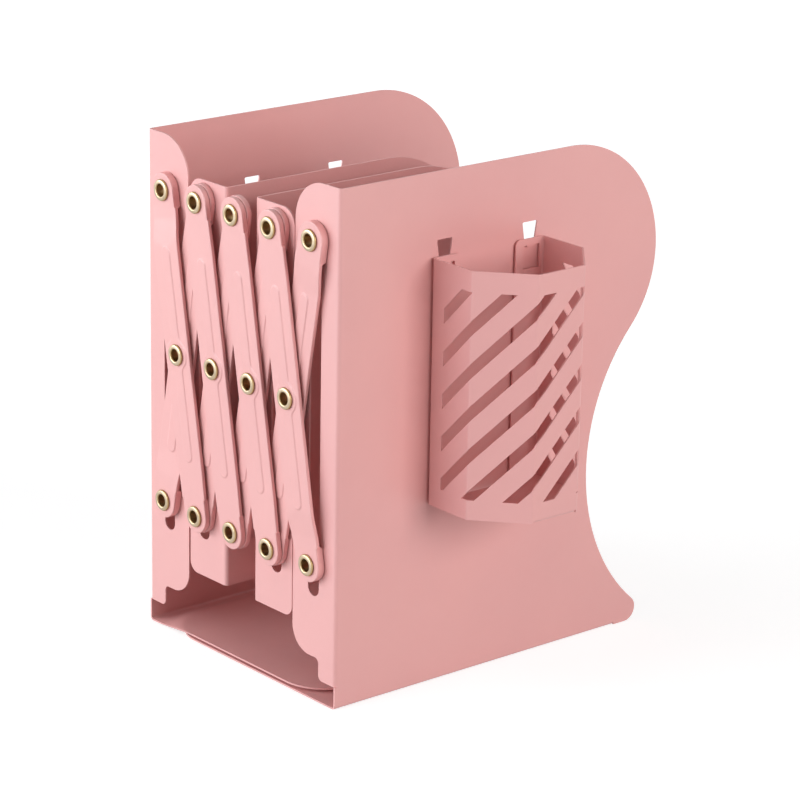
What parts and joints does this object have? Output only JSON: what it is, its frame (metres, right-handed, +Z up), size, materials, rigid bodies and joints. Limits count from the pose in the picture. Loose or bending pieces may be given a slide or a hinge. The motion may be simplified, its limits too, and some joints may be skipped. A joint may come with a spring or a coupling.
{
  "type": "expandable bookend",
  "caption": "Expandable sheet-metal bookend: curved end plates and dividers joined by a riveted scissor linkage, with a slotted pen holder hooked on one side.",
  "frame": {"origin": "on the table, under the middle of the folded bookend's whole box, pen holder included", "axes": "+X is the way the bookend expands, towards the end plate that carries the pen holder; +Y is its depth, from the linkage at the front to the curved edges at the back; +Z is up"},
  "size_m": [0.1656, 0.172, 0.2101],
  "materials": {
    "pink_powder_coat": "satin",
    "eyelet_brass": "satin"
  },
  "bodies": {
    "right_end": {"right_end_plate": "pink_powder_coat", "top_rivet_5": "eyelet_brass"},
    "inner_arm_4": {"inner_arm_4": "pink_powder_coat"},
    "outer_arm_4": {"outer_arm_4": "pink_powder_coat", "middle_rivet_4": "eyelet_brass", "bottom_rivet_5": "eyelet_brass"},
    "right_divider": {"right_divider": "pink_powder_coat", "top_rivet_4": "eyelet_brass"},
    "inner_arm_3": {"inner_arm_3": "pink_powder_coat"},
    "outer_arm_3": {"outer_arm_3": "pink_powder_coat", "middle_rivet_3": "eyelet_brass", "bottom_rivet_4": "eyelet_brass"},
    "inner_arm_2": {"inner_arm_2": "pink_powder_coat", "top_rivet_3": "eyelet_brass"},
    "outer_arm_2": {"outer_arm_2": "pink_powder_coat", "middle_rivet_2": "eyelet_brass", "bottom_rivet_3": "eyelet_brass"},
    "left_divider": {"left_divider": "pink_powder_coat", "top_rivet_2": "eyelet_brass"},
    "inner_arm_1": {"inner_arm_1": "pink_powder_coat", "bottom_rivet_1": "eyelet_brass"},
    "outer_arm_1": {"outer_arm_1": "pink_powder_coat", "middle_rivet_1": "eyelet_brass", "bottom_rivet_2": "eyelet_brass"},
    "left_end": {"left_end_plate": "pink_powder_coat", "top_rivet_1": "eyelet_brass"},
    "pen_holder": {"pen_holder": "pink_powder_coat"}
  },
  "joints": [
    {"name": "expand", "type": "hinge", "parent": "right_end", "child": "inner_arm_4", "pos_m": [0.02555, -0.0796, 0.18805], "axis": [0, 1, 0], "range_deg": [0, 49.7]},
    {"name": "crossing_4", "type": "hinge", "parent": "inner_arm_4", "child": "outer_arm_4", "pos_m": [0.01375, -0.0796, 0.12276], "axis": [0, 1, 0], "range_deg": [-103.38, 0]},
    {"name": "right_divider_pivot", "type": "hinge", "parent": "outer_arm_4", "child": "right_divider", "pos_m": [0.00195, -0.0796, 0.18805], "axis": [0, 1, 0], "range_deg": [0, 51.69]},
    {"name": "inner_arm_3_pivot", "type": "hinge", "parent": "right_divider", "child": "inner_arm_3", "pos_m": [0.00195, -0.0796, 0.18805], "axis": [0, 1, 0], "range_deg": [0, 51.69]},
    {"name": "crossing_3", "type": "hinge", "parent": "inner_arm_3", "child": "outer_arm_3", "pos_m": [-0.00985, -0.0796, 0.12276], "axis": [0, 1, 0], "range_deg": [-103.38, 0]},
    {"name": "centre_pivot", "type": "hinge", "parent": "outer_arm_3", "child": "inner_arm_2", "pos_m": [-0.02165, -0.0796, 0.18805], "axis": [0, 1, 0], "range_deg": [0, 103.38]},
    {"name": "crossing_2", "type": "hinge", "parent": "inner_arm_2", "child": "outer_arm_2", "pos_m": [-0.03345, -0.0796, 0.12276], "axis": [0, 1, 0], "range_deg": [-103.38, 0]},
    {"name": "left_divider_pivot", "type": "hinge", "parent": "outer_arm_2", "child": "left_divider", "pos_m": [-0.04525, -0.0796, 0.18805], "axis": [0, 1, 0], "range_deg": [0, 51.69]},
    {"name": "inner_arm_1_pivot", "type": "hinge", "parent": "left_divider", "child": "inner_arm_1", "pos_m": [-0.04525, -0.0796, 0.18805], "axis": [0, 1, 0], "range_deg": [0, 51.69]},
    {"name": "crossing_1", "type": "hinge", "parent": "inner_arm_1", "child": "outer_arm_1", "pos_m": [-0.05705, -0.0796, 0.12276], "axis": [0, 1, 0], "range_deg": [-103.38, 0]},
    {"name": "left_end_pivot", "type": "hinge", "parent": "outer_arm_1", "child": "left_end", "pos_m": [-0.06885, -0.0796, 0.18805], "axis": [0, 1, 0], "range_deg": [0, 51.69]},
    {"name": "pen_holder_lift", "type": "slide", "parent": "right_end", "child": "pen_holder", "axis": [0, 0, 1], "range_m": [0, 0.008]}
  ],
  "couplings": [
    {"joint": "crossing_4", "follows": "expand", "ratio": -2},
    {"joint": "right_divider_pivot", "follows": "expand", "ratio": 1},
    {"joint": "inner_arm_3_pivot", "follows": "expand", "ratio": 1},
    {"joint": "crossing_3", "follows": "expand", "ratio": -2},
    {"joint": "centre_pivot", "follows": "expand", "ratio": 2},
    {"joint": "crossing_2", "follows": "expand", "ratio": -2},
    {"joint": "left_divider_pivot", "follows": "expand", "ratio": 1},
    {"joint": "inner_arm_1_pivot", "follows": "expand", "ratio": 1},
    {"joint": "crossing_1", "follows": "expand", "ratio": -2},
    {"joint": "left_end_pivot", "follows": "expand", "ratio": 1}
  ]
}
